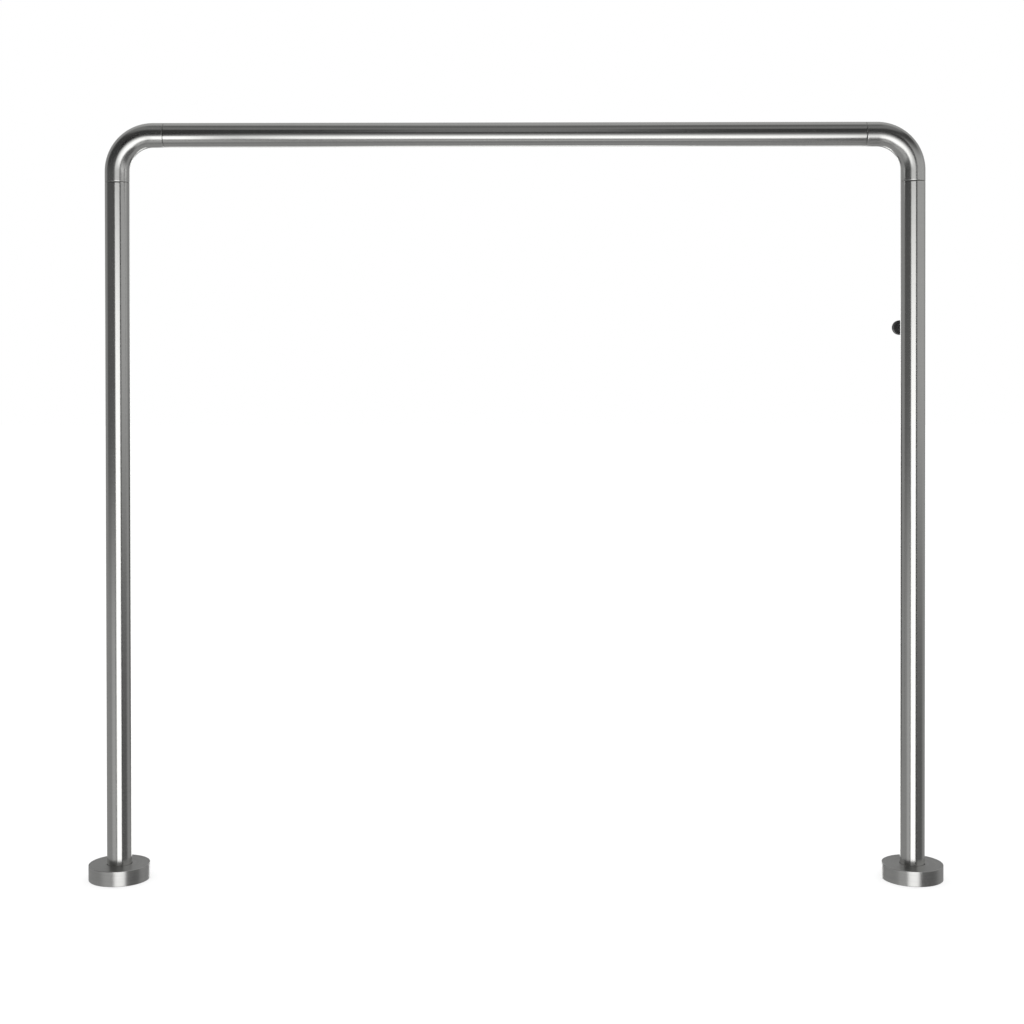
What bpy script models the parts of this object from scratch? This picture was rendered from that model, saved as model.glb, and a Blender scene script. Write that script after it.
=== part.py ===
"""Floor-fixed door security bar: a hoop of round stainless tube with two posts, two elbows and a top rail,
each post on a screwed base flange under a loose round cover, and a rubber door buffer behind the right post.

Run with: blender --background --python part.py
Units are metres and +Z is up. The rail runs along X, the buffer points to +Y, and the origin lies on the
floor, in the middle of the bar's overall footprint.
"""

import math

import bmesh
import bpy
from mathutils import Matrix, Vector

# Driving dimensions of the hoop
TUBE_RADIUS = 0.01685  # 33.7 mm tube
TUBE_WALL = 0.002
POST_SPACING = 1.100  # between the post axes
RAIL_HEIGHT = 1.030  # floor to the rail's axis
BEND_RADIUS = 0.050  # of the elbow's centre line
ELBOW_LEG = 0.0655  # from the corner of the two axes to the elbow's end
EDGE_BREAK = 0.0005  # at the tubes' rims
GAP = 0.0003  # between pieces that touch

# Base flange, its screws and its cover
PLATE_RADIUS = 0.038
PLATE_THICKNESS = 0.006
SPIGOT_RADIUS = 0.0145
SPIGOT_BORE = 0.008
SPIGOT_TOP = 0.066
ANCHOR_COUNT = 4
ANCHOR_CIRCLE = 0.028  # radius of the ring of floor screw holes
ANCHOR_HOLE = 0.0033
ANCHOR_SINK = 0.0065
GRUB_HEIGHT = 0.0135
GRUB_RADIUS = 0.003
GRUB_LENGTH = 0.008
GRUB_SOCKET = 0.0017
COVER_RADIUS = 0.042
COVER_HEIGHT = 0.021
COVER_WALL = 0.0015
COVER_BORE = 0.01725
COVER_EDGE = 0.001  # radius of the cover's top edge
RING_BORE = 0.0172  # rubber ring that grips the post, under the cover's top
RING_RADIUS = 0.0197
RING_HEIGHT = 0.0026

# Inner sleeves that join the tubes to the elbows
SLEEVE_RADIUS = 0.0145
SLEEVE_WALL = 0.0025
SLEEVE_IN_ELBOW = 0.014
SLEEVE_IN_TUBE = 0.040

# Door buffer, with distances measured from the axis of the right post
BUFFER_HEIGHT = 0.765
STEM_RADIUS = 0.005
THREAD_RADIUS = 0.003
INSERT_RADIUS = 0.0045
SADDLE_RADIUS = 0.0085
SADDLE_TOP = 0.0205
STEM_END = 0.0655
BARB_END = 0.0765
RUBBER_RADIUS = 0.0104
RUBBER_END = 0.0855

# Facets
TUBE_SIDES = 32
BEND_STEPS = 9
COVER_SIDES = 48
SMALL_SIDES = 20

POST_X = POST_SPACING / 2
POST_Y = (COVER_RADIUS - RUBBER_END) / 2  # puts the footprint's middle on the origin
SEAM_HEIGHT = RAIL_HEIGHT - ELBOW_LEG


def clear_scene():
    for old in list(bpy.data.objects):
        bpy.data.objects.remove(old)


def make_material(name, colour, roughness, metallic):
    material = bpy.data.materials.new(name)
    material.use_nodes = True
    shader = material.node_tree.nodes["Principled BSDF"]
    shader.inputs["Base Color"].default_value = (*colour, 1.0)
    shader.inputs["Roughness"].default_value = roughness
    shader.inputs["Metallic"].default_value = metallic
    return material


def link(name, mesh, material, parent=None, location=(0, 0, 0)):
    """An object of this mesh, shaded smooth across its shallow edges only."""
    made = bpy.data.objects.new(name, mesh)
    bpy.context.collection.objects.link(made)
    mesh.materials.clear()
    mesh.materials.append(material)
    mesh.shade_smooth()
    mesh.set_sharp_from_angle(angle=math.radians(30))
    made.parent = parent
    made.location = location
    return made


def make_empty(name, location, rotation=(0, 0, 0)):
    empty = bpy.data.objects.new(name, None)
    bpy.context.collection.objects.link(empty)
    empty.location = location
    empty.rotation_euler = rotation
    return empty


def pipe_mesh(name, points, radius, sides=TUBE_SIDES):
    """The open outer skin of a pipe that follows these points."""
    curve = bpy.data.curves.new(name, "CURVE")
    curve.dimensions = "3D"
    curve.bevel_depth = radius
    curve.bevel_resolution = (sides - 4) // 2
    spline = curve.splines.new("POLY")
    spline.points.add(len(points) - 1)
    for target, point in zip(spline.points, points):
        target.co = (*point, 1.0)
    guide = bpy.data.objects.new(name + "_guide", curve)
    bpy.context.collection.objects.link(guide)
    bpy.context.view_layer.update()
    mesh = bpy.data.meshes.new_from_object(guide.evaluated_get(bpy.context.evaluated_depsgraph_get()))
    bpy.data.objects.remove(guide)
    return mesh


def make_pipe(name, points, radius, wall, material, parent, location=(0, 0, 0), edge=EDGE_BREAK):
    """A hollow pipe: the skin is thickened inwards, and its rims get a broken edge."""
    pipe = link(name, pipe_mesh(name, points, radius), material, parent, location)
    shell = pipe.modifiers.new("wall", "SOLIDIFY")
    shell.thickness = wall
    shell.offset = -1
    shell.use_even_offset = True
    if edge:
        rims = pipe.modifiers.new("rims", "BEVEL")
        rims.width = edge
        rims.segments = 1
        rims.limit_method = "ANGLE"
        rims.angle_limit = math.radians(60)
    return pipe


def turned_mesh(name, profile, sides):
    """A closed profile of (radius, height) points turned about Z. Points at radius 0 close on the axis."""
    shape = bmesh.new()
    verts = [shape.verts.new((radius, 0, height)) for radius, height in profile]
    edges = [shape.edges.new(pair) for pair in zip(verts, verts[1:] + verts[:1])]
    bmesh.ops.spin(
        shape, geom=verts + edges, cent=(0, 0, 0), axis=(0, 0, 1), angle=math.tau, steps=sides, use_merge=True
    )
    bmesh.ops.remove_doubles(shape, verts=shape.verts[:], dist=1e-6)
    loose = [edge for edge in shape.edges if not edge.link_faces]
    bmesh.ops.delete(shape, geom=loose, context="EDGES")
    bmesh.ops.recalc_face_normals(shape, faces=shape.faces[:])
    mesh = bpy.data.meshes.new(name)
    shape.to_mesh(mesh)
    shape.free()
    return mesh


def make_cutter(name, mesh, parent=None, matrix=None):
    """A hidden tool body for Boolean cuts."""
    cutter = bpy.data.objects.new(name, mesh)
    bpy.context.collection.objects.link(cutter)
    cutter.hide_render = True
    cutter.display_type = "WIRE"
    cutter.parent = parent
    cutter.matrix_local = matrix or Matrix.Identity(4)
    return cutter


def round_bar_mesh(name, radius, length, sides=SMALL_SIDES):
    """A solid bar along Z, centred on the origin."""
    shape = bmesh.new()
    bmesh.ops.create_cone(
        shape, cap_ends=True, segments=sides, radius1=radius, radius2=radius, depth=length
    )
    mesh = bpy.data.meshes.new(name)
    shape.to_mesh(mesh)
    shape.free()
    return mesh


def cut(target, cutter):
    tool = target.modifiers.new("cut_" + cutter.name, "BOOLEAN")
    tool.operation = "DIFFERENCE"
    tool.solver = "EXACT"
    tool.object = cutter


def arc(centre, radius, start, end, steps):
    """Points on an arc, as (x, z) pairs, with angles in degrees from +X."""
    angles = [math.radians(start + (end - start) * i / steps) for i in range(steps + 1)]
    return [(centre[0] + radius * math.cos(a), centre[1] + radius * math.sin(a)) for a in angles]


def elbow_points():
    """Centre line of an elbow with its corner at the origin, from the leg that hangs down to the leg along +X."""
    bend = arc((BEND_RADIUS, -BEND_RADIUS), BEND_RADIUS, 180, 90, BEND_STEPS)
    line = [(0, -ELBOW_LEG + GAP / 2), *bend, (ELBOW_LEG - GAP / 2, 0)]
    return [(x, 0, z) for x, z in line]


def make_flange(side, frame, steel):
    """Round plate with countersunk floor screw holes, and the hollow spigot that stands inside the post."""
    bevel = 0.0005
    profile = [
        (0, 0),
        (PLATE_RADIUS, 0),
        (PLATE_RADIUS, PLATE_THICKNESS - bevel),
        (PLATE_RADIUS - bevel, PLATE_THICKNESS),
        (SPIGOT_RADIUS, PLATE_THICKNESS),
        (SPIGOT_RADIUS, SPIGOT_TOP - 2 * bevel),
        (SPIGOT_RADIUS - 2 * bevel, SPIGOT_TOP),
        (SPIGOT_BORE, SPIGOT_TOP),
        (SPIGOT_BORE, PLATE_THICKNESS),
        (0, PLATE_THICKNESS),
    ]
    name = side + "_base_flange"
    flange = link(name, turned_mesh(name, profile, TUBE_SIDES), steel, frame)
    over = 0.002  # how far a tool reaches past the plate
    sink_depth = ANCHOR_SINK - ANCHOR_HOLE
    tool = [
        (0, -over),
        (ANCHOR_HOLE, -over),
        (ANCHOR_HOLE, PLATE_THICKNESS - sink_depth),
        (ANCHOR_SINK, PLATE_THICKNESS),
        (ANCHOR_SINK, PLATE_THICKNESS + over),
        (0, PLATE_THICKNESS + over),
    ]
    mesh = turned_mesh("anchor_tool", tool, SMALL_SIDES)
    for i in range(ANCHOR_COUNT):
        turn = Matrix.Rotation(math.tau * (i + 0.5) / ANCHOR_COUNT, 4, "Z")
        half_side = Matrix.Rotation(math.pi / SMALL_SIDES, 4, "Z")
        place = turn @ Matrix.Translation((ANCHOR_CIRCLE, 0, 0)) @ half_side
        cut(flange, make_cutter(f"{side}_anchor_tool_{i}", mesh, frame, place))
    return flange


def make_grub_screw(name, frame, turn, zinc):
    """Socket set screw with a cone point. Its own +Z runs out of the post, from the post's axis."""
    outer = TUBE_RADIUS - GAP
    inner = outer - GRUB_LENGTH
    bevel = 0.0004
    profile = [
        (0, inner),
        (GRUB_RADIUS - 3 * bevel, inner),
        (GRUB_RADIUS, inner + 3 * bevel),
        (GRUB_RADIUS, outer - bevel),
        (GRUB_RADIUS - bevel, outer),
        (0, outer),
    ]
    screw = link(name, turned_mesh(name, profile, SMALL_SIDES), zinc, frame, (0, 0, GRUB_HEIGHT))
    screw.rotation_euler = (math.pi / 2, 0, turn)
    depth = 0.0025
    socket = round_bar_mesh("socket_tool", GRUB_SOCKET, 2 * depth, sides=6)
    cut(screw, make_cutter(name + "_socket_tool", socket, screw, Matrix.Translation((0, 0, outer))))
    return screw


def make_cover(side, frame, steel):
    """Loose cup over the flange. A lip under its top holds the rubber ring."""
    outer, inner = COVER_RADIUS, COVER_RADIUS - COVER_WALL
    top, ceiling = COVER_HEIGHT, COVER_HEIGHT - COVER_WALL
    bevel = 0.0004
    lip_inner = RING_RADIUS + GAP
    lip_outer = lip_inner + 0.0012
    lip_bottom = ceiling - 0.003
    profile = [
        (inner, 0),
        (outer, 0),
        *arc((outer - COVER_EDGE, top - COVER_EDGE), COVER_EDGE, 0, 90, 3),
        (COVER_BORE + bevel, top),
        (COVER_BORE, top - bevel),
        (COVER_BORE, ceiling),
        (lip_inner, ceiling),
        (lip_inner, lip_bottom),
        (lip_outer, lip_bottom),
        (lip_outer, ceiling),
        (inner - COVER_EDGE, ceiling),
        (inner, ceiling - COVER_EDGE),
    ]
    name = side + "_base_cover"
    return link(name, turned_mesh(name, profile, COVER_SIDES), steel, frame)


def make_grip_ring(side, frame, rubber):
    """Rubber ring with a rounded bore that centres the cover on the post."""
    top = COVER_HEIGHT - COVER_WALL - GAP
    bottom = top - RING_HEIGHT
    nose = RING_HEIGHT / 4
    profile = [
        (RING_BORE, bottom + nose),
        (RING_BORE + nose, bottom),
        (RING_RADIUS, bottom),
        (RING_RADIUS, top),
        (RING_BORE + nose, top),
        (RING_BORE, top - nose),
    ]
    name = side + "_cover_grip_ring"
    return link(name, turned_mesh(name, profile, TUBE_SIDES), rubber, frame)


def make_side(side, sign, looks):
    """Post, base, cover, elbow and sleeves at one end of the bar."""
    frame = make_empty(side + "_end", (sign * POST_X, POST_Y, 0))
    steel, mill, zinc, rubber = looks["brushed"], looks["mill"], looks["zinc"], looks["rubber"]
    bottom = PLATE_THICKNESS + GAP
    post = make_pipe(
        side + "_post_tube", [(0, 0, bottom), (0, 0, SEAM_HEIGHT - GAP / 2)], TUBE_RADIUS, TUBE_WALL, steel, frame
    )
    flange = make_flange(side, frame, looks["plate"])
    across = Matrix.Translation((0, 0, GRUB_HEIGHT)) @ Matrix.Rotation(math.pi / 2, 4, "X")
    drill = round_bar_mesh("grub_tool", GRUB_RADIUS + GAP, 3 * TUBE_RADIUS)
    grub_tool = make_cutter(side + "_grub_tool", drill, frame, across)
    cut(post, grub_tool)
    cut(flange, grub_tool)
    make_grub_screw(side + "_front_grub_screw", frame, 0, zinc)
    make_grub_screw(side + "_rear_grub_screw", frame, math.pi, zinc)
    make_cover(side, frame, looks["cover"])
    make_grip_ring(side, frame, rubber)

    corner = make_empty(side + "_corner", (sign * POST_X, POST_Y, RAIL_HEIGHT), (0, 0, 0 if sign < 0 else math.pi))
    make_pipe(side + "_elbow", elbow_points(), TUBE_RADIUS, TUBE_WALL, looks["satin"], corner)
    reach = (ELBOW_LEG - SLEEVE_IN_ELBOW, ELBOW_LEG + SLEEVE_IN_TUBE)
    post_line = [(0, 0, -distance) for distance in reach]
    rail_line = [(distance, 0, 0) for distance in reach]
    make_pipe(side + "_post_sleeve", post_line, SLEEVE_RADIUS, SLEEVE_WALL, mill, corner, edge=None)
    make_pipe(side + "_rail_sleeve", rail_line, SLEEVE_RADIUS, SLEEVE_WALL, mill, corner, edge=None)
    return post


def make_rail(looks):
    half = POST_X - ELBOW_LEG - GAP / 2
    ends = [(-half, 0, 0), (half, 0, 0)]
    return make_pipe(
        "top_rail_tube", ends, TUBE_RADIUS, TUBE_WALL, looks["brushed"], None, (0, POST_Y, RAIL_HEIGHT)
    )


def make_threaded_insert(frame, zinc):
    """Blind rivet nut in the post's wall: an outer flange, a shank through the hole and a crimped collar inside."""
    bore = THREAD_RADIUS + GAP
    flange_bottom = TUBE_RADIUS + GAP
    flange_top = flange_bottom + 0.001
    profile = [
        (bore, 0.0045),
        (INSERT_RADIUS, 0.0045),
        (INSERT_RADIUS, 0.0095),
        (INSERT_RADIUS + 0.0015, 0.0103),
        (INSERT_RADIUS + 0.0015, 0.0125),
        (INSERT_RADIUS, 0.0131),
        (INSERT_RADIUS, flange_bottom),
        (INSERT_RADIUS + 0.0013, flange_bottom),
        (INSERT_RADIUS + 0.0013, flange_top),
        (bore, flange_top),
    ]
    return link("buffer_threaded_insert", turned_mesh("insert", profile, SMALL_SIDES), zinc, frame)


def make_saddle(frame, steel):
    """Spacer whose hollow foot sits on the round post and covers the insert's flange."""
    pocket = INSERT_RADIUS + 0.0013 + GAP
    pocket_top = TUBE_RADIUS + 2 * GAP + 0.001
    bevel = 0.0005
    profile = [
        (THREAD_RADIUS + GAP, pocket_top),
        (pocket, pocket_top),
        (pocket, 0.010),
        (SADDLE_RADIUS, 0.010),
        (SADDLE_RADIUS, SADDLE_TOP - bevel),
        (SADDLE_RADIUS - bevel, SADDLE_TOP),
        (THREAD_RADIUS + GAP, SADDLE_TOP),
    ]
    saddle = link("buffer_saddle_washer", turned_mesh("saddle", profile, TUBE_SIDES), steel, frame)
    post_shape = round_bar_mesh("saddle_tool", TUBE_RADIUS + GAP, 0.05, sides=96)
    upright = Matrix.Rotation(math.pi / 2, 4, "X")
    cut(saddle, make_cutter("saddle_tool", post_shape, frame, upright))
    return saddle


def make_stem(frame, steel):
    """Turned stem: a threaded end for the insert, a plain shank, and a barb that holds the rubber."""
    start = SADDLE_TOP + GAP
    bevel = 0.0005
    neck = 0.0032
    profile = [
        (0, 0.0065),
        (THREAD_RADIUS - bevel, 0.0065),
        (THREAD_RADIUS, 0.0065 + bevel),
        (THREAD_RADIUS, start),
        (STEM_RADIUS - bevel, start),
        (STEM_RADIUS, start + bevel),
        (STEM_RADIUS, STEM_END),
        (neck, STEM_END),
        (neck, STEM_END + 0.0045),
        (STEM_RADIUS + bevel, STEM_END + 0.0045),
        (STEM_RADIUS + bevel, STEM_END + 0.0065),
        (neck, BARB_END),
        (0, BARB_END),
    ]
    return link("buffer_stem", turned_mesh("stem", profile, 24), steel, frame)


def make_buffer(frame, rubber):
    """Mushroom buffer: a neck over the stem, a round head, and a cavity that grips the barb."""
    neck = STEM_RADIUS + 0.0014
    inside = STEM_RADIUS + GAP
    head_bottom = STEM_END + 0.003
    round_over = 0.0035
    profile = [
        (inside, STEM_END - 0.0065),
        (neck - 0.0003, STEM_END - 0.0065),
        (neck, STEM_END - 0.006),
        (neck, head_bottom),
        *arc((RUBBER_RADIUS - 0.002, head_bottom + 0.002), 0.002, -90, 0, 3),
        *arc((RUBBER_RADIUS - round_over, RUBBER_END - round_over), round_over, 0, 90, 5),
        (0, RUBBER_END),
        (0, BARB_END + GAP),
        (0.0032 + GAP, BARB_END + GAP),
        (STEM_RADIUS + 2.7 * GAP, STEM_END + 0.0065 + GAP),
        (STEM_RADIUS + 2.7 * GAP, STEM_END + 0.0045 - GAP),
        (0.0032 + GAP, STEM_END + 0.0045 - GAP),
        (0.0032 + GAP, STEM_END + GAP),
        (inside, STEM_END + GAP),
    ]
    return link("buffer_rubber", turned_mesh("buffer", profile, TUBE_SIDES), rubber, frame)


def make_door_buffer(post, looks):
    """The buffer's frame has its +Z pointing to the rear, out of the right post's axis."""
    frame = make_empty("buffer_axis", (POST_X, POST_Y, BUFFER_HEIGHT), (-math.pi / 2, 0, 0))
    drill = round_bar_mesh("insert_tool", INSERT_RADIUS + GAP, 2 * TUBE_RADIUS)
    reach = Matrix.Translation((0, 0, 1.5 * TUBE_RADIUS))
    cut(post, make_cutter("insert_tool", drill, frame, reach))
    make_threaded_insert(frame, looks["zinc"])
    make_saddle(frame, looks["stem"])
    make_stem(frame, looks["stem"])
    make_buffer(frame, looks["rubber"])


def make_looks():
    return {
        "brushed": make_material("brushed_stainless", (0.55, 0.55, 0.53), 0.28, 1.0),
        "satin": make_material("satin_stainless", (0.57, 0.57, 0.55), 0.34, 1.0),
        "cover": make_material("turned_stainless", (0.55, 0.55, 0.53), 0.32, 1.0),
        "stem": make_material("polished_stainless", (0.60, 0.60, 0.58), 0.18, 1.0),
        "plate": make_material("mill_plate", (0.42, 0.42, 0.41), 0.5, 1.0),
        "mill": make_material("mill_tube", (0.40, 0.40, 0.39), 0.45, 1.0),
        "zinc": make_material("zinc_steel", (0.50, 0.50, 0.48), 0.35, 1.0),
        "rubber": make_material("black_rubber", (0.03, 0.03, 0.03), 0.75, 0.0),
    }


def main():
    clear_scene()
    looks = make_looks()
    make_side("left", -1, looks)
    right_post = make_side("right", 1, looks)
    make_rail(looks)
    make_door_buffer(right_post, looks)


main()
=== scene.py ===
"""Looks of the door security bar: brushed stainless tube, satin elbows, turned covers and a black rubber buffer.

The visible pieces are built again on the CAD's own sizes, with finer and rounder meshes. Each carries a UV
map that runs in metres along its profile or its centre line (U), and once round its axis (V). The brushed
grain and its direction follow that map. The flanges and the CAD's own meshes take a plain steel instead,
whose pattern follows their object coordinates.
"""

import math

import bmesh
import bpy
from mathutils import Matrix, Vector


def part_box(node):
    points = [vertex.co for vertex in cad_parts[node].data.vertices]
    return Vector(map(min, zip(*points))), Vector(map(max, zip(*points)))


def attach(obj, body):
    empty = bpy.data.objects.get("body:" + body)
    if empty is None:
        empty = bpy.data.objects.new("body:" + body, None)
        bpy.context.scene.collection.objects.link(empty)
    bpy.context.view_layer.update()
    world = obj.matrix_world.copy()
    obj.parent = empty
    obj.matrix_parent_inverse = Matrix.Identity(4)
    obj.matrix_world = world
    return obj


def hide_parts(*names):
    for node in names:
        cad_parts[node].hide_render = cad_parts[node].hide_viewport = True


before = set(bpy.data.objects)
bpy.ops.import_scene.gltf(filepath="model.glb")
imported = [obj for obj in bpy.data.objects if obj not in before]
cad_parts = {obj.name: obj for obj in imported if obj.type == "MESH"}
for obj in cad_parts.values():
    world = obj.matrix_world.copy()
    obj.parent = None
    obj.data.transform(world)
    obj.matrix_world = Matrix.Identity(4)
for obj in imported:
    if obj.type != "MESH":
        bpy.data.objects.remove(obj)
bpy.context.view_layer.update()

# Shapes that a box can't tell, in metres
BEND_RADIUS = 0.050
TUBE_WALL = 0.002
RIM = 0.0006  # radius of the tubes' rims
GAP = 0.0003  # between pieces that touch
COVER_WALL = 0.0015
COVER_BORE = 0.01725
COVER_EDGE = 0.001  # radius of the cover's top edge
RING_BORE = 0.0172
PLATE = 0.006  # thickness of the flange's plate
PLATE_EDGE = 0.0005
SPIGOT_RADIUS = 0.0145
SPIGOT_BORE = 0.008
ANCHOR_COUNT = 4
ANCHOR_CIRCLE = 0.028  # radius of the ring of floor screw holes
ANCHOR_HOLE = 0.0033
ANCHOR_SINK = 0.0065
INSERT_HOLE = 0.0048  # hole in the right post for the buffer's insert
STEM_RADIUS = 0.005
STEM_THREAD = 0.003
STEM_NECK = 0.0032  # radius between the stem's shoulder and its barb
STEM_IN_RUBBER = 0.0065  # from the rubber's open end to the stem's shoulder
BUFFER_ROUND = 0.0035  # radius of the rubber's far edge

# Smoothness of the meshes
TUBE_SIDES = 96
COVER_SIDES = 144
STEM_SIDES = 64
DRILL_SIDES = 40
ELBOW_STEPS = 28
SHARP = math.radians(38)  # edges that bend by more than this stay sharp
WELD_DISTANCE = 0.000002
GRAIN_UV = "grain"

# Camera: millimetres of lens on a 36 mm sensor, metres, and radians
CAMERA_LENS = 58.14
CAMERA_SHIFT = -0.12
CAMERA_SIDE = 0.0042
CAMERA_DISTANCE = 2.289
CAMERA_HEIGHT = 0.700
CAMERA_PITCH = math.radians(0.54)
CAMERA_YAW = 0.00364
CAMERA_ROLL = -0.00125


# ---------------------------------------------------------------- sizes read from the CAD


def middle(node):
    lo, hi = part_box(node)
    return (lo + hi) / 2


def half(node, axis):
    lo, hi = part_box(node)
    return (hi[axis] - lo[axis]) / 2


TUBE_RADIUS = half("top_rail_tube", 2)
RAIL_Z = middle("top_rail_tube").z
POST_Y = middle("left_post_tube").y


# ---------------------------------------------------------------- mesh building


def arc(centre, radius, start, end, steps):
    """Points on an arc, as pairs, with angles in degrees from the first axis."""
    angles = [math.radians(start + (end - start) * i / steps) for i in range(steps + 1)]
    return [(centre[0] + radius * math.cos(a), centre[1] + radius * math.sin(a)) for a in angles]


def skin(name, rings, closed, caps=(None, None)):
    """A mesh from rings of points.

    A closed one joins its last ring to its first. A cap is the point that closes an end.
    """
    shape = bmesh.new()
    grain = shape.loops.layers.uv.new(GRAIN_UV)
    rows = [[shape.verts.new(p) for p in ring] for ring in rings]
    sides = len(rows[0])
    run = [0.0]
    pairs = list(zip(rings, rings[1:] + rings[:1]))
    for a, b in pairs:
        run.append(run[-1] + (Vector(a[0]) - Vector(b[0])).length)
    count = len(rows) if closed else len(rows) - 1
    for i in range(count):
        below, above = rows[i], rows[(i + 1) % len(rows)]
        for j in range(sides):
            k = (j + 1) % sides
            face = shape.faces.new((below[j], below[k], above[k], above[j]))
            places = ((run[i], j), (run[i], j + 1), (run[i + 1], j + 1), (run[i + 1], j))
            for loop, (u, v) in zip(face.loops, places):
                loop[grain].uv = (u, v / sides)
    for ring, u, point in ((0, 0.0, caps[0]), (-1, run[len(rows) - 1], caps[1])):
        if point is None:
            continue
        tip = shape.verts.new(point)
        reach = (Vector(rings[ring][0]) - Vector(point)).length
        for j in range(sides):
            face = shape.faces.new((rows[ring][j], rows[ring][(j + 1) % sides], tip))
            outer = (u, j / sides), (u, (j + 1) / sides)
            for loop, uv in zip(face.loops, (*outer, (u + reach, (j + 0.5) / sides))):
                loop[grain].uv = uv
    bmesh.ops.recalc_face_normals(shape, faces=shape.faces[:])
    mesh = bpy.data.meshes.new(name)
    shape.to_mesh(mesh)
    shape.free()
    mesh.shade_smooth()
    mesh.set_sharp_from_angle(angle=SHARP)
    return mesh


def lathe(name, profile, sides, place):
    """A (radius, height) profile turned about Z, then moved by place. Points at radius 0 close an end."""
    caps = [None, None]
    if profile[0][0] == 0:
        caps[0] = place @ Vector((0, 0, profile[0][1]))
        profile = profile[1:]
    if profile[-1][0] == 0:
        caps[1] = place @ Vector((0, 0, profile[-1][1]))
        profile = profile[:-1]
    rings = []
    for radius, height in profile:
        turns = [math.tau * j / sides for j in range(sides)]
        ring = [Vector((radius * math.cos(a), radius * math.sin(a), height)) for a in turns]
        rings.append([place @ point for point in ring])
    return skin(name, rings, caps == [None, None], caps)


def rim_profile(radius, wall, start, end, rim):
    """Closed (radius, distance) profile of a pipe with rounded rims and a short plain band beside each rim."""
    inner = radius - wall
    keep = 3 * rim
    low = arc((radius - rim, start + rim), rim, -90, 0, 4)
    high = arc((radius - rim, end - rim), rim, 0, 90, 4)
    inside_high = arc((inner + rim, end - rim), rim, 90, 180, 4)
    inside_low = arc((inner + rim, start + rim), rim, 180, 270, 4)
    return [
        *low,
        (radius, start + keep),
        (radius, end - keep),
        *high,
        *inside_high,
        (inner, end - keep),
        (inner, start + keep),
        *inside_low,
    ]


def piece(name, mesh, body, material, nodes):
    made = bpy.data.objects.new(name, mesh)
    bpy.context.scene.collection.objects.link(made)
    mesh.materials.append(material)
    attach(made, body)
    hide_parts(*nodes)
    return made


def bar(radius, length):
    """Profile of a plain drill, centred on its matrix."""
    return [(0, -length / 2), (radius, -length / 2), (radius, length / 2), (0, length / 2)]


def drilled(mesh, drills):
    """The mesh with each turned (profile, matrix) tool cut from it."""
    body = bpy.data.objects.new("drilled", mesh)
    bpy.context.scene.collection.objects.link(body)
    tools = []
    for profile, place in drills:
        tool = bpy.data.objects.new("drill", lathe("drill", profile, DRILL_SIDES, place))
        bpy.context.scene.collection.objects.link(tool)
        cut = body.modifiers.new("cut", "BOOLEAN")
        cut.operation = "DIFFERENCE"
        cut.solver = "EXACT"
        cut.object = tool
        tools.append(tool)
    bpy.context.view_layer.update()
    made = bpy.data.meshes.new_from_object(body.evaluated_get(bpy.context.evaluated_depsgraph_get()))
    for old in (body, *tools):
        bpy.data.objects.remove(old)
    made.shade_smooth()
    made.set_sharp_from_angle(angle=SHARP)
    return made


# ---------------------------------------------------------------- materials


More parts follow.
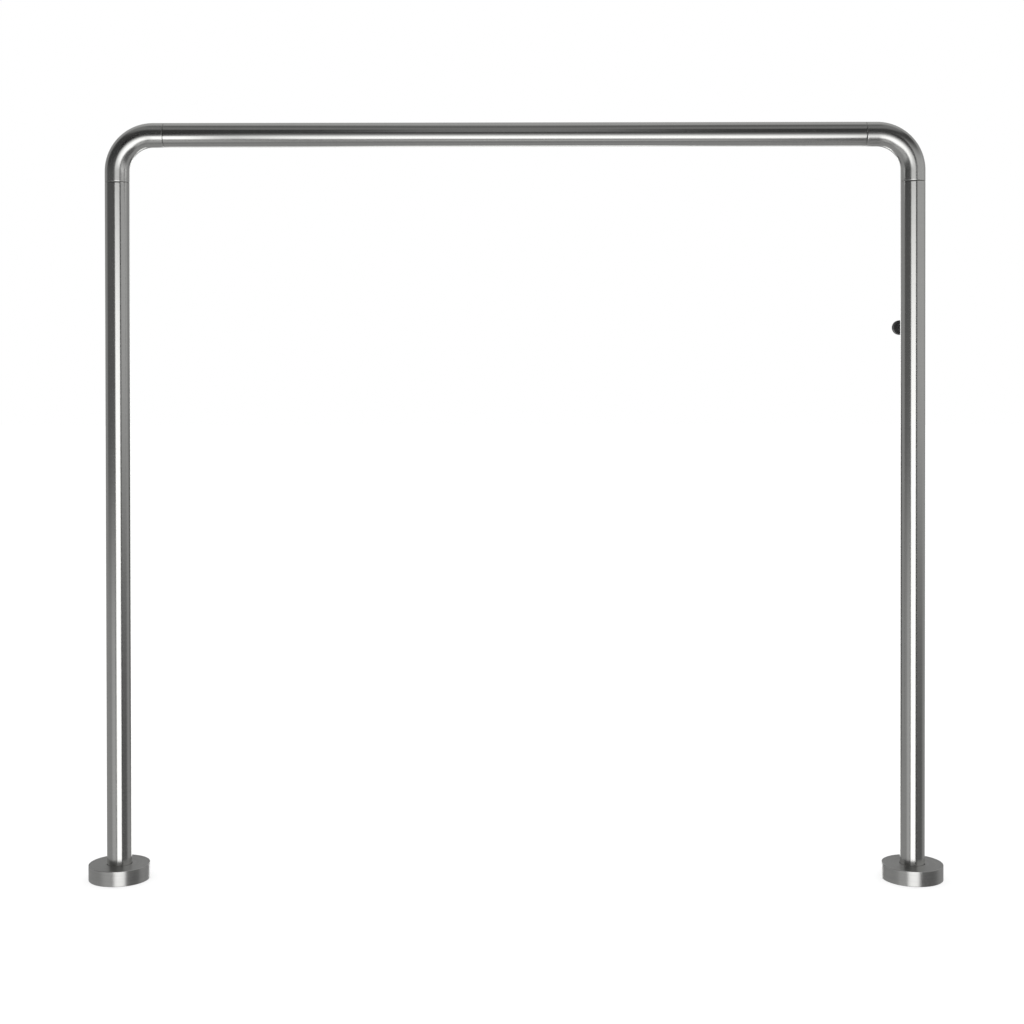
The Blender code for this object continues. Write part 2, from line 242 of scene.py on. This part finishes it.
class Nodes:
    """Short ways to add nodes to one material."""

    def __init__(self, name):
        self.material = bpy.data.materials.new(name)
        self.material.use_nodes = True
        self.tree = self.material.node_tree
        self.shader = self.tree.nodes["Principled BSDF"]

    def add(self, kind, **settings):
        node = self.tree.nodes.new(kind)
        for key, value in settings.items():
            setattr(node, key, value)
        return node

    def feed(self, socket, value):
        if isinstance(value, bpy.types.NodeSocket):
            self.tree.links.new(value, socket)
        else:
            socket.default_value = value

    def math(self, operation, a, b=0.0):
        node = self.add("ShaderNodeMath", operation=operation)
        self.feed(node.inputs[0], a)
        self.feed(node.inputs[1], b)
        return node.outputs[0]

    def grain_place(self, along, around):
        """Seamless coordinates: patterns per metre along the piece, and pattern lengths round it."""
        uv = self.add("ShaderNodeUVMap", uv_map=GRAIN_UV)
        split = self.add("ShaderNodeSeparateXYZ")
        self.feed(split.inputs[0], uv.outputs[0])
        turn = self.math("MULTIPLY", split.outputs[1], math.tau)
        made = self.add("ShaderNodeCombineXYZ")
        self.feed(made.inputs[0], self.math("MULTIPLY", split.outputs[0], along))
        self.feed(made.inputs[1], self.math("MULTIPLY", self.math("COSINE", turn), around))
        self.feed(made.inputs[2], self.math("MULTIPLY", self.math("SINE", turn), around))
        return made.outputs[0]

    def noise(self, place, scale=1.0, detail=2.0, rough=0.5):
        node = self.add("ShaderNodeTexNoise")
        self.feed(node.inputs["Vector"], place)
        node.inputs["Scale"].default_value = scale
        node.inputs["Detail"].default_value = detail
        node.inputs["Roughness"].default_value = rough
        return node.outputs["Fac"]

    def spread(self, value, low, high, start=0.3, end=0.7):
        node = self.add("ShaderNodeMapRange")
        self.feed(node.inputs[0], value)
        for socket, number in zip(node.inputs[1:5], (start, end, low, high)):
            socket.default_value = number
        return node.outputs[0]

    def blend(self, share, a, b):
        node = self.add("ShaderNodeMix", data_type="RGBA")
        self.feed(node.inputs[0], share)
        self.feed(node.inputs[6], (*a, 1.0) if isinstance(a, tuple) else a)
        self.feed(node.inputs[7], (*b, 1.0) if isinstance(b, tuple) else b)
        return node.outputs[2]

    def bump(self, height, strength, distance, normal=None):
        node = self.add("ShaderNodeBump")
        node.inputs["Strength"].default_value = strength
        node.inputs["Distance"].default_value = distance
        self.feed(node.inputs["Height"], height)
        if normal:
            self.feed(node.inputs["Normal"], normal)
        return node.outputs[0]

    def brushed(self, anisotropy, turn):
        """Highlights stretched along U, or round the piece with turn 0.25."""
        tangent = self.add("ShaderNodeTangent", direction_type="UV_MAP", uv_map=GRAIN_UV)
        self.feed(self.shader.inputs["Tangent"], tangent.outputs[0])
        self.shader.inputs["Anisotropic"].default_value = anisotropy
        self.shader.inputs["Anisotropic Rotation"].default_value = turn


def steel(name, colour, rough, lines, anisotropy, turn=0.0, streaks=0.04, depth=0.00002, cloud=0.5):
    """Ground stainless. lines is (along, around) of the fine grain, which tints, roughens and dents it."""
    n = Nodes(name)
    fine = n.noise(n.grain_place(*lines), detail=3.0, rough=0.6)
    wide = n.noise(n.grain_place(lines[0] * 0.18, lines[1] * 0.18), detail=2.0)
    patches = n.noise(n.grain_place(22.0, 0.8), detail=2.0)
    both = n.math("ADD", n.math("MULTIPLY", fine, 0.6), n.math("MULTIPLY", wide, 0.4))
    darker = tuple(c * (1 - streaks) for c in colour)
    lighter = tuple(min(1.0, c * (1 + streaks)) for c in colour)
    tone = n.blend(n.spread(both, 0.0, 1.0), darker, lighter)
    worn = tuple(c * 0.95 for c in colour)
    wear = n.math("MULTIPLY", n.spread(patches, 0.0, 1.0, 0.35, 0.75), cloud * 0.35)
    tone = n.blend(wear, tone, worn)
    n.feed(n.shader.inputs["Base Color"], tone)
    n.shader.inputs["Metallic"].default_value = 1.0
    grit = n.math("ADD", n.spread(both, -0.025, 0.025), n.spread(patches, -0.015 * cloud, 0.02 * cloud))
    n.feed(n.shader.inputs["Roughness"], n.math("ADD", grit, rough))
    n.feed(n.shader.inputs["Normal"], n.bump(fine, 0.25, depth))
    n.brushed(anisotropy, turn)
    return n.material


def raw_steel(name, colour, rough, grain, change, depth):
    """Unground steel for the CAD's own meshes, which carry no UV map. grain is patterns per metre."""
    n = Nodes(name)
    place = n.add("ShaderNodeTexCoord").outputs["Object"]
    fine = n.noise(place, grain, 3.0, 0.6)
    patches = n.noise(place, grain * 0.06, 3.0)
    darker = tuple(c * (1 - change) for c in colour)
    lighter = tuple(min(1.0, c * (1 + change)) for c in colour)
    worn = tuple(c * 0.84 for c in colour)
    tone = n.blend(n.spread(fine, 0.0, 1.0), darker, lighter)
    tone = n.blend(n.spread(patches, 0.0, 0.6, 0.45, 0.75), tone, worn)
    n.feed(n.shader.inputs["Base Color"], tone)
    n.shader.inputs["Metallic"].default_value = 1.0
    grit = n.math("ADD", n.spread(fine, -0.05, 0.05), n.spread(patches, -0.03, 0.05))
    n.feed(n.shader.inputs["Roughness"], n.math("ADD", grit, rough))
    n.feed(n.shader.inputs["Normal"], n.bump(fine, 0.25, depth))
    return n.material


def rubber(name):
    n = Nodes(name)
    cloud = n.noise(n.grain_place(160.0, 3.0), detail=4.0, rough=0.6)
    grit = n.noise(n.grain_place(2600.0, 30.0), detail=2.0)
    tone = n.blend(n.spread(cloud, 0.0, 1.0), (0.014, 0.014, 0.015), (0.030, 0.030, 0.029))
    n.feed(n.shader.inputs["Base Color"], tone)
    n.feed(n.shader.inputs["Roughness"], n.spread(grit, 0.5, 0.68))
    n.shader.inputs["Specular IOR Level"].default_value = 0.45
    n.feed(n.shader.inputs["Normal"], n.bump(grit, 0.35, 0.00005))
    return n.material


def make_materials():
    return {
        "tube": steel("brushed_tube", (0.60, 0.60, 0.585), 0.17, (2600.0, 1.6), 0.55),
        "elbow": steel(
            "satin_elbow", (0.62, 0.62, 0.605), 0.21, (60.0, 40.0), 0.25, turn=0.25, cloud=1.0
        ),
        "cover": steel(
            "turned_cover", (0.55, 0.55, 0.537), 0.31, (1500.0, 1.2), 0.45, streaks=0.12, depth=0.0001
        ),
        "plate": raw_steel("mill_plate", (0.46, 0.46, 0.45), 0.40, 900.0, 0.12, 0.00006),
        "mill": raw_steel("mill_tube", (0.42, 0.42, 0.41), 0.42, 500.0, 0.10, 0.00006),
        "zinc": raw_steel("zinc_steel", (0.55, 0.56, 0.57), 0.30, 1600.0, 0.08, 0.00002),
        "saddle": raw_steel("saddle_steel", (0.56, 0.56, 0.55), 0.26, 1600.0, 0.06, 0.00002),
        "stem": steel("turned_stem", (0.58, 0.58, 0.57), 0.20, (2400.0, 1.0), 0.4),
        "rubber": rubber("black_rubber"),
    }


# ---------------------------------------------------------------- pieces


def upright(node):
    """Matrix at the node's axis, on the floor."""
    at = middle(node)
    return Matrix.Translation((at.x, at.y, 0))


def grub_drill(side):
    """The bar that cuts both grub screw holes of this side."""
    screw = middle(side + "_front_grub_screw")
    radius = half(side + "_front_grub_screw", 0) + GAP
    place = Matrix.Translation((screw.x, POST_Y, screw.z)) @ Matrix.Rotation(math.pi / 2, 4, "X")
    return bar(radius, 3 * TUBE_RADIUS), place


def make_posts(looks):
    for side in ("left", "right"):
        node = side + "_post_tube"
        lo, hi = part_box(node)
        mesh = lathe(node, rim_profile(TUBE_RADIUS, TUBE_WALL, lo.z, hi.z, RIM), TUBE_SIDES, upright(node))
        drills = [grub_drill(side)]
        if side == "right":
            insert = middle("buffer_threaded_insert")
            place = Matrix.Translation((insert.x, POST_Y + TUBE_RADIUS, insert.z))
            drills.append((bar(INSERT_HOLE, TUBE_RADIUS), place @ Matrix.Rotation(math.pi / 2, 4, "X")))
        piece(node + "_ground", drilled(mesh, drills), "bar", looks["tube"], [node])


def make_flanges(looks):
    """Plate with countersunk screw holes, and the hollow spigot that stands inside the post."""
    past = 0.0005  # how far a drill reaches past the plate
    sink = PLATE - (ANCHOR_SINK - ANCHOR_HOLE)
    hole = [
        (0, -past),
        (ANCHOR_HOLE, -past),
        (ANCHOR_HOLE, sink),
        (ANCHOR_SINK + past, PLATE + past),
        (0, PLATE + past),
    ]
    out_to_circle = Matrix.Translation((ANCHOR_CIRCLE, 0, 0))
    off_edges = Matrix.Rotation(math.pi / DRILL_SIDES, 4, "Z")  # keeps the cut off the plate's own edges
    for side in ("left", "right"):
        node = side + "_base_flange"
        outer, top, edge = half(node, 0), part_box(node)[1].z, PLATE_EDGE
        profile = [
            (0, 0),
            (outer - edge, 0),
            *arc((outer - edge, edge), edge, -90, 0, 3),
            (outer, 2 * edge),
            (outer, PLATE - 2 * edge),
            *arc((outer - edge, PLATE - edge), edge, 0, 90, 4),
            (outer - 3 * edge, PLATE),
            (SPIGOT_RADIUS + edge, PLATE),
            (SPIGOT_RADIUS, PLATE + edge),
            (SPIGOT_RADIUS, top - 3 * edge),
            (SPIGOT_RADIUS - 2 * edge, top),
            (SPIGOT_BORE, top),
            (SPIGOT_BORE, PLATE),
            (0, PLATE),
        ]
        axis = upright(node)
        drills = [grub_drill(side)]
        for i in range(ANCHOR_COUNT):
            turn = Matrix.Rotation(math.tau * (i + 0.5) / ANCHOR_COUNT, 4, "Z")
            drills.append((hole, axis @ turn @ out_to_circle @ off_edges))
        mesh = drilled(lathe(node, profile, TUBE_SIDES, axis), drills)
        piece(node + "_machined", mesh, "bar", looks["plate"], [node])


def make_rail(looks):
    lo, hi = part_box("top_rail_tube")
    along = Matrix.Translation((0, POST_Y, RAIL_Z)) @ Matrix.Rotation(math.pi / 2, 4, "Y")
    mesh = lathe("top_rail", rim_profile(TUBE_RADIUS, TUBE_WALL, lo.x, hi.x, RIM), TUBE_SIDES, along)
    piece("top_rail_tube_ground", mesh, "bar", looks["tube"], ["top_rail_tube"])


def bend_frame(distance, straight, sign):
    """Point, outward and sideways directions at this distance along an elbow, from its lower end."""
    length = BEND_RADIUS * math.pi / 2
    if distance <= straight:
        at, angle = Vector((0, 0, distance - straight - BEND_RADIUS)), 0.0
    elif distance <= straight + length:
        angle = (distance - straight) / BEND_RADIUS
        at = Vector((BEND_RADIUS * (1 - math.cos(angle)), 0, BEND_RADIUS * (math.sin(angle) - 1)))
    else:
        angle = math.pi / 2
        at = Vector((distance - straight - length + BEND_RADIUS, 0, 0))
    outward = Vector((-math.cos(angle), 0, math.sin(angle)))
    at.x, outward.x = at.x * sign, outward.x * sign
    return at, outward, Vector((0, 1, 0))


def elbow_rings(straight, total):
    """(radius, distance) of every ring of an elbow's skin, with more of them round the bend."""
    bend = BEND_RADIUS * math.pi / 2
    outline = rim_profile(TUBE_RADIUS, TUBE_WALL, 0.0, total, RIM)
    stops = [straight + bend * i / ELBOW_STEPS for i in range(ELBOW_STEPS + 1)]
    stops = [stop for stop in stops if 4 * RIM < stop < total - 4 * RIM]
    rings = []
    for (r0, s0), (_, s1) in zip(outline, outline[1:] + outline[:1]):
        rings.append((r0, s0))
        if abs(s1 - s0) > total / 2:
            rings.extend((r0, stop) for stop in (stops if s1 > s0 else stops[::-1]))
    return rings


def make_elbows(looks):
    for side, sign in (("left", 1), ("right", -1)):
        node = side + "_elbow"
        corner = Vector((middle(side + "_post_tube").x, POST_Y, RAIL_Z))
        straight = corner.z - BEND_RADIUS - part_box(node)[0].z
        total = 2 * straight + BEND_RADIUS * math.pi / 2
        circles = []
        for radius, distance in elbow_rings(straight, total):
            at, outward, sideways = bend_frame(distance, straight, sign)
            circle = []
            for j in range(TUBE_SIDES):
                a = math.tau * j / TUBE_SIDES
                circle.append(corner + at + (sideways * math.cos(a) + outward * math.sin(a)) * radius)
            circles.append(circle)
        mesh = skin(node, circles, True)
        piece(node + "_satin", mesh, "bar", looks["elbow"], [node])


def make_covers(looks):
    """Cups with a hole for the post in their top, and a lip under it round the rubber ring."""
    foot, mouth, hold = 0.0003, 0.0004, 0.0008  # foot and hole edges, and the plain band beside the top edge
    for side in ("left", "right"):
        node = side + "_base_cover"
        outer, top = half(node, 0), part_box(node)[1].z
        inner, ceiling = outer - COVER_WALL, top - COVER_WALL
        ring_outer = half(side + "_cover_grip_ring", 0) + GAP
        lip, lip_end = ring_outer + 0.0012, ceiling - 0.003
        profile = [
            (inner + 0.0002, 0),
            (outer - foot, 0),
            *arc((outer - foot, foot), foot, -60, 0, 2),
            (outer, 0.0012),
            (outer, top - COVER_EDGE - hold),
            *arc((outer - COVER_EDGE, top - COVER_EDGE), COVER_EDGE, 0, 90, 6),
            (outer - COVER_EDGE - hold, top),
            (COVER_BORE + 3 * mouth, top),
            *arc((COVER_BORE + mouth, top - mouth), mouth, 90, 180, 3),
            (COVER_BORE, ceiling + 0.0002),
            (COVER_BORE + 0.0002, ceiling),
            (ring_outer, ceiling),
            (ring_outer, lip_end),
            (lip, lip_end),
            (lip, ceiling),
            (inner - COVER_EDGE - hold, ceiling),
            *arc((inner - COVER_EDGE, ceiling - COVER_EDGE), COVER_EDGE, 90, 0, 4),
            (inner, ceiling - COVER_EDGE - hold),
            (inner, 0.0002),
        ]
        mesh = lathe(node, profile, COVER_SIDES, upright(node))
        piece(node + "_turned", mesh, side + "_cover", looks["cover"], [node])


def make_grip_rings(looks):
    """Rubber rings with a round inner face, which stand under the covers' tops."""
    edge = 0.0003
    for side in ("left", "right"):
        node = side + "_cover_grip_ring"
        lo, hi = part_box(node)
        outer, radius = half(node, 0), half(node, 2)
        profile = [
            *arc((RING_BORE + radius, middle(node).z), radius, 270, 90, 8),
            (outer - edge, hi.z),
            (outer, hi.z - edge),
            (outer, lo.z + edge),
            (outer - edge, lo.z),
        ]
        mesh = lathe(node, profile, TUBE_SIDES, upright(node))
        piece(node + "_moulded", mesh, side + "_cover", looks["rubber"], [node])


def carried_over(looks):
    """CAD nodes that stay: they are sealed inside, or small. Modifiers join and smooth their facets."""
    kept = {
        "mill": ("left_post_sleeve", "left_rail_sleeve", "right_post_sleeve", "right_rail_sleeve"),
        "zinc": (
            "left_front_grub_screw",
            "left_rear_grub_screw",
            "right_front_grub_screw",
            "right_rear_grub_screw",
            "buffer_threaded_insert",
        ),
        "saddle": ("buffer_saddle_washer",),
    }
    for look, names in kept.items():
        for name in names:
            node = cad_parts[name]
            node.data.materials.clear()
            node.data.materials.append(looks[look])
            node.data.shade_smooth()
            weld = node.modifiers.new("weld", "WELD")
            weld.merge_threshold = WELD_DISTANCE
            split = node.modifiers.new("edges", "EDGE_SPLIT")
            split.split_angle = SHARP


def make_buffer(looks):
    """The buffer's turned parts, with their axis out of the back of the right post."""
    at = middle("buffer_rubber")
    place = Matrix.Translation((at.x, POST_Y, at.z)) @ Matrix.Rotation(-math.pi / 2, 4, "X")
    start, end = (corner.y - POST_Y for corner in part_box("buffer_rubber"))
    radius = half("buffer_rubber", 0)
    shoulder = start + STEM_IN_RUBBER
    barb_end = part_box("buffer_stem")[1].y - POST_Y
    neck, inside, head = STEM_RADIUS + 0.0014, STEM_RADIUS + GAP, shoulder + 0.003
    hollow, hollow_neck = 0.00581, 0.0035  # radii of the space round the stem's barb
    fillet, collar, edge = 0.002, 0.0008, 0.0004
    profile = [
        (0, barb_end + GAP),
        (hollow_neck, barb_end + GAP),
        (hollow, shoulder + 0.0068),
        (hollow, shoulder + 0.0042),
        (hollow_neck, shoulder + 0.0042),
        (hollow_neck, shoulder + GAP),
        (inside, shoulder + GAP),
        (inside, start + GAP),
        *arc((neck - edge, start + edge), edge, -90, 0, 3),
        (neck, head - 0.0012),
        *arc((neck + collar, head - collar), collar, 180, 90, 4),
        *arc((radius - fillet, head + fillet), fillet, -90, 0, 8),
        *arc((radius - BUFFER_ROUND, end - BUFFER_ROUND), BUFFER_ROUND, 0, 90, 14),
        (radius - BUFFER_ROUND - 0.0012, end),
        (0.0015, end),
        (0, end),
    ]
    mesh = lathe("buffer_head", profile, TUBE_SIDES, place)
    piece("buffer_rubber_moulded", mesh, "bar", looks["rubber"], ["buffer_rubber"])

    start, end = (corner.y - POST_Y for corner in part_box("buffer_stem"))
    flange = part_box("buffer_saddle_washer")[1].y - POST_Y + GAP
    bevel = 0.0005
    profile = [
        (0, start),
        (STEM_THREAD - bevel, start),
        (STEM_THREAD, start + bevel),
        (STEM_THREAD, flange),
        *arc((STEM_RADIUS - bevel, flange + bevel), bevel, -90, 0, 3),
        (STEM_RADIUS, flange + 0.002),
        (STEM_RADIUS, shoulder - 0.0008),
        (STEM_RADIUS, shoulder),
        (STEM_NECK, shoulder),
        (STEM_NECK, shoulder + 0.0045),
        (STEM_RADIUS + bevel, shoulder + 0.0045),
        (STEM_RADIUS + bevel, shoulder + 0.0065),
        (STEM_NECK, end),
        (0, end),
    ]
    mesh = lathe("buffer_stem", profile, STEM_SIDES, place)
    piece("buffer_stem_turned", mesh, "bar", looks["stem"], ["buffer_stem"])


# ---------------------------------------------------------------- stage, lights and camera


def soft_mask(n, value, low, high, soft_low, soft_high):
    """1 where value lies between low and high, fading out over the soft widths."""
    rise = n.add("ShaderNodeMapRange", interpolation_type="SMOOTHSTEP")
    n.feed(rise.inputs[0], value)
    rise.inputs[1].default_value = low - soft_low / 2
    rise.inputs[2].default_value = low + soft_low / 2
    fall = n.add("ShaderNodeMapRange", interpolation_type="SMOOTHSTEP")
    n.feed(fall.inputs[0], value)
    fall.inputs[1].default_value = high - soft_high / 2
    fall.inputs[2].default_value = high + soft_high / 2
    fall.inputs[3].default_value = 1.0
    fall.inputs[4].default_value = 0.0
    return n.math("MULTIPLY", rise.outputs[0], fall.outputs[0])


SOFTBOX = 1.8
SECOND_BOUNCE = 0.3  # the softbox as steel sees it reflected in other steel
BASE_LIGHT = 0.34  # the dome where no panel covers it
DOME_RADIUS, DOME_HEIGHT = 3.2, 0.55
RAIL_FLAG = ((-0.57, 0.97), (0.57, 1.30), 0.060)  # two corners, and the distance before the rail's face
RAIL_FLAG_FADE = (0.988, 1.031)  # heights between which the gel before the rail grows darker
RAIL_FLAG_LEAST = 0.17  # light that its darkest part lets through
RAIL_CARD = ((-0.53, 0.98), (-0.36, 1.03), 0.030)
EDGE_LIGHT_HALF, EDGE_LIGHT_BACK = 0.53, -2.1 * TUBE_RADIUS
EDGE_LIGHT_HEIGHTS = (RAIL_Z - 2.0 * TUBE_RADIUS, RAIL_Z - 1.08 * TUBE_RADIUS)
EDGE_LIGHT, EDGE_LIGHT_AT_ELBOWS = 1.10, 0.35

# Softboxes and flags on the dome, painted in this order: brightness, then in degrees the azimuth span and its soft
# edges, and the elevation span and its soft edges. Azimuth 0 is the front and it grows to the right.
PANELS = [
    (0.12, -400, -136, 1, 10, -22, 2, 8, 8),
    (0.12, 136, 400, 10, 1, -22, 2, 8, 8),
    (1.80, -400, -168, 1, 4, -40, 12, 12, 24),
    (1.80, 168, 400, 4, 1, -40, 12, 12, 24),
    (0.38, -400, 400, 1, 1, 50, 200, 8, 1),
    (0.50, -400, -110, 1, 40, 35, 85, 40, 10),
    (0.50, 110, 400, 40, 1, 35, 85, 40, 10),
    (0.17, -100, 100, 20, 20, 64, 83, 6, 10),
    (0.25, -100, 100, 20, 20, 48, 64, 6, 6),
    (0.125, -93, -21, 14, 6, -5, 30, 10, 10),
    (0.055, -93, 100, 16, 12, 16, 49, 12, 7),
    (0.52, -60, -21, 20, 6, -60, -8, 10, 10),
    (0.52, 38, 112, 10, 30, -4, 29, 20, 20),
    (0.13, 32, 92, 8, 30, -60, -9, 20, 22),
    (0.56, -30, 30, 20, 20, -68, -50, 8, 10),
    (0.26, -60, 60, 20, 20, -100, -68, 1, 12),
    (0.27, -9, 9, 3, 3, 26, 54, 6, 6),
    (0.20, -27, -19, 4, 2, -70, 12, 10, 10),
    (SOFTBOX, -18.5, 25, 5, 5, -38, 12, 10, 26),
    (0.07, 26, 36, 2, 4, -50, 40, 10, 20),
]


def only_reflected(obj):
    """A piece of the studio that only reflections see."""
    obj.visible_camera = False
    obj.visible_diffuse = False
    obj.visible_transmission = False
    obj.visible_volume_scatter = False
    obj.visible_shadow = False


def glossy_sheet(name, corners, shade):
    """A flat upright sheet that only reflections see. A negative distance puts it behind the rail's face."""
    (x0, z0), (x1, z1), distance = corners
    y = POST_Y - TUBE_RADIUS - distance
    mesh = bpy.data.meshes.new(name)
    mesh.from_pydata([(x0, y, z0), (x1, y, z0), (x1, y, z1), (x0, y, z1)], [], [(0, 1, 2, 3)])
    sheet = bpy.data.objects.new(name, mesh)
    bpy.context.scene.collection.objects.link(sheet)
    n = Nodes(name)
    n.tree.nodes.remove(n.shader)
    split = n.add("ShaderNodeSeparateXYZ")
    n.feed(split.inputs[0], n.add("ShaderNodeTexCoord").outputs["Object"])
    n.feed(n.tree.nodes["Material Output"].inputs["Surface"], shade(n, split.outputs[0], split.outputs[2]))
    n.material.cycles.emission_sampling = "NONE"
    mesh.materials.append(n.material)
    only_reflected(sheet)


def flag_shade(n, x, z):
    """Graded gel: it dims towards its middle height, and lets all the light through above the rail."""
    least = 1.0 - RAIL_FLAG_LEAST
    low, high = RAIL_FLAG_FADE
    dim = soft_mask(n, z, (low + high) / 2, 1.046, high - low, 0.020)
    gel = n.add("ShaderNodeBsdfTransparent")
    n.feed(gel.inputs[0], n.math("SUBTRACT", 1.0, n.math("MULTIPLY", dim, least)))
    return gel.outputs[0]


def card_shade(n, x, z):
    """A small bright card that carries the rail's highlight up to its left seam."""
    card = n.add("ShaderNodeEmission")
    card.inputs["Strength"].default_value = SOFTBOX
    across = soft_mask(n, x, -0.514, -0.43, 0.02, 0.10)
    upward = soft_mask(n, z, 0.990, 1.017, 0.008, 0.012)
    mask = n.math("MULTIPLY", across, upward)
    both = n.add("ShaderNodeMixShader")
    n.feed(both.inputs[0], mask)
    n.feed(both.inputs[1], n.add("ShaderNodeBsdfTransparent").outputs[0])
    n.feed(both.inputs[2], card.outputs[0])
    return both.outputs[0]


def edge_shade(n, x, z):
    """Even light along the rail's lowest edge, from behind and below it, and shade at the elbows."""
    glow = n.add("ShaderNodeEmission")
    more = EDGE_LIGHT - EDGE_LIGHT_AT_ELBOWS
    lit = n.math("MULTIPLY", soft_mask(n, x, -0.49, 0.49, 0.02, 0.02), more)
    n.feed(glow.inputs["Strength"], n.math("ADD", lit, EDGE_LIGHT_AT_ELBOWS))
    return glow.outputs[0]


def make_dome():
    """What the steel reflects: a large dome round the stage. Only reflections see it."""
    centre = (0, POST_Y, DOME_HEIGHT)
    bpy.ops.mesh.primitive_uv_sphere_add(segments=64, ring_count=32, radius=DOME_RADIUS, location=centre)
    dome = bpy.context.object
    dome.name = "studio_dome"
    n = Nodes("studio_dome")
    n.tree.nodes.remove(n.shader)
    place = n.add("ShaderNodeTexCoord")
    unit = n.add("ShaderNodeVectorMath", operation="NORMALIZE")
    n.feed(unit.inputs[0], place.outputs["Object"])
    split = n.add("ShaderNodeSeparateXYZ")
    n.feed(split.inputs[0], unit.outputs[0])
    x, y, z = split.outputs
    degrees = 180 / math.pi
    azimuth = n.math("MULTIPLY", n.math("ARCTAN2", x, n.math("MULTIPLY", y, -1.0)), degrees)
    elevation = n.math("MULTIPLY", n.math("ARCSINE", z), degrees)
    light = BASE_LIGHT
    for bright, a0, a1, sa0, sa1, e0, e1, se0, se1 in PANELS:
        across = soft_mask(n, azimuth, a0, a1, sa0, sa1)
        upward = soft_mask(n, elevation, e0, e1, se0, se1)
        mask = n.math("MULTIPLY", across, upward)
        if bright == SOFTBOX:
            bounce = n.add("ShaderNodeLightPath").outputs["Ray Depth"]
            later = n.math("GREATER_THAN", bounce, 1.5)
            bright = n.math("ADD", SOFTBOX, n.math("MULTIPLY", later, SECOND_BOUNCE - SOFTBOX))
        mix = n.add("ShaderNodeMix", data_type="FLOAT")
        n.feed(mix.inputs[0], mask)
        n.feed(mix.inputs[2], light)
        n.feed(mix.inputs[3], bright)
        light = mix.outputs[0]
    glow = n.add("ShaderNodeEmission")
    n.feed(glow.inputs["Strength"], light)
    n.feed(n.tree.nodes["Material Output"].inputs["Surface"], glow.outputs[0])
    n.material.cycles.emission_sampling = "NONE"
    dome.data.materials.append(n.material)
    only_reflected(dome)


def make_floor():
    bpy.ops.mesh.primitive_plane_add(size=40, location=(0, 0, -0.0004))
    floor = bpy.context.object
    floor.name = "floor"
    n = Nodes("white_floor")
    n.shader.inputs["Base Color"].default_value = (0.35, 0.35, 0.35, 1.0)
    n.shader.inputs["Roughness"].default_value = 1.0
    n.shader.inputs["Specular IOR Level"].default_value = 0.0
    n.shader.inputs["Emission Color"].default_value = (1.0, 1.0, 1.0, 1.0)
    n.shader.inputs["Emission Strength"].default_value = 0.72
    floor.data.materials.append(n.material)
    floor.visible_glossy = False
    floor.visible_shadow = False


def make_world():
    world = bpy.data.worlds.new("studio")
    world.use_nodes = True
    tree = world.node_tree
    tree.nodes["Background"].inputs["Color"].default_value = (1.0, 1.0, 1.0, 1.0)
    tree.nodes["Background"].inputs["Strength"].default_value = 1.0
    bpy.context.scene.world = world


def make_camera():
    data = bpy.data.cameras.new("camera")
    data.sensor_width = 36.0
    data.lens = CAMERA_LENS
    data.shift_y = CAMERA_SHIFT
    camera = bpy.data.objects.new("camera", data)
    bpy.context.scene.collection.objects.link(camera)
    place = Matrix.Translation((CAMERA_SIDE, POST_Y - CAMERA_DISTANCE, CAMERA_HEIGHT))
    turn = Matrix.Rotation(CAMERA_YAW, 4, "Z") @ Matrix.Rotation(math.pi / 2 - CAMERA_PITCH, 4, "X")
    camera.matrix_world = place @ turn @ Matrix.Rotation(CAMERA_ROLL, 4, "Z")
    bpy.context.scene.camera = camera


def main():
    looks = make_materials()
    make_posts(looks)
    make_flanges(looks)
    make_rail(looks)
    make_elbows(looks)
    make_covers(looks)
    make_grip_rings(looks)
    make_buffer(looks)
    carried_over(looks)
    make_dome()
    glossy_sheet("rail_flag", RAIL_FLAG, flag_shade)
    glossy_sheet("rail_card", RAIL_CARD, card_shade)
    low, high = EDGE_LIGHT_HEIGHTS
    edge_light = ((-EDGE_LIGHT_HALF, low), (EDGE_LIGHT_HALF, high), EDGE_LIGHT_BACK)
    glossy_sheet("rail_edge_light", edge_light, edge_shade)
    make_floor()
    make_world()
    make_camera()
    bpy.context.scene.view_settings.view_transform = "Standard"


main()
